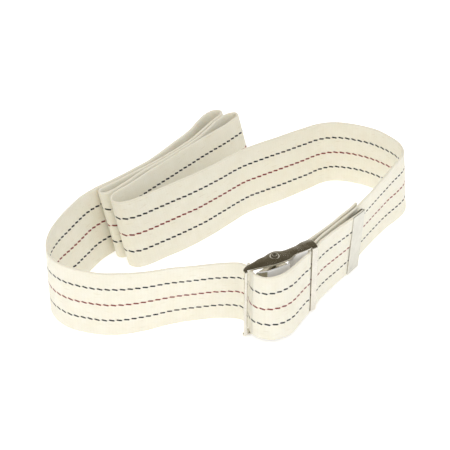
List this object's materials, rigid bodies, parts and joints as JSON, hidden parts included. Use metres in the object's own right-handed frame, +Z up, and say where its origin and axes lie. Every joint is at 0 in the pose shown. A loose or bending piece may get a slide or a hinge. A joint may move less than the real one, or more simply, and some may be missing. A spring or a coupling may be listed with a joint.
{
  "type": "gait belt",
  "caption": "Cotton webbing gait belt, buckled into a loop and folded, with a toothed steel cam buckle and a metal tip.",
  "frame": {"origin": "middle of the footprint on the floor, at the belt's lower edge", "axes": "+Z up; +X along the longer way across the closed loop, buckle towards -Y; -Z face rests on the floor"},
  "size_m": [0.259, 0.2317, 0.056],
  "materials": {
    "webbing": "matte",
    "thread": "matte",
    "nickel": "polished",
    "tip": "satin"
  },
  "bodies": {
    "belt": {"webbing_buckle_loop": "webbing", "webbing_slot_run": "webbing", "webbing_front_run": "webbing", "webbing_left_turn": "webbing", "webbing_layer_1": "webbing", "webbing_loop_a": "webbing", "webbing_layer_2": "webbing", "webbing_fold_c": "webbing", "webbing_layer_3": "webbing", "webbing_loop_b": "webbing", "webbing_layer_4": "webbing", "webbing_fold_d": "webbing", "webbing_back_run": "webbing", "webbing_right_turn": "webbing", "webbing_anchor_run": "webbing", "webbing_anchor_eye": "webbing", "webbing_turn_back": "webbing", "anchor_stitching": "thread", "buckle_frame": "nickel", "pivot_rivet": "nickel", "anchor_bar": "nickel"},
    "cam": {"cam_lever": "nickel"},
    "tail": {"webbing_tail": "webbing", "belt_tip": "tip"}
  },
  "joints": [
    {"name": "cam_pivot", "type": "hinge", "parent": "belt", "child": "cam", "pos_m": [0.0255, -0.09214, 0.028], "axis": [0, 0, 1], "range_deg": [0, 20]},
    {"name": "tail_pull", "type": "slide", "parent": "belt", "child": "tail", "axis": [0.605, 0.7962, 0], "range_m": [0, 0.012], "deforming": ["webbing_buckle_loop"]}
  ]
}
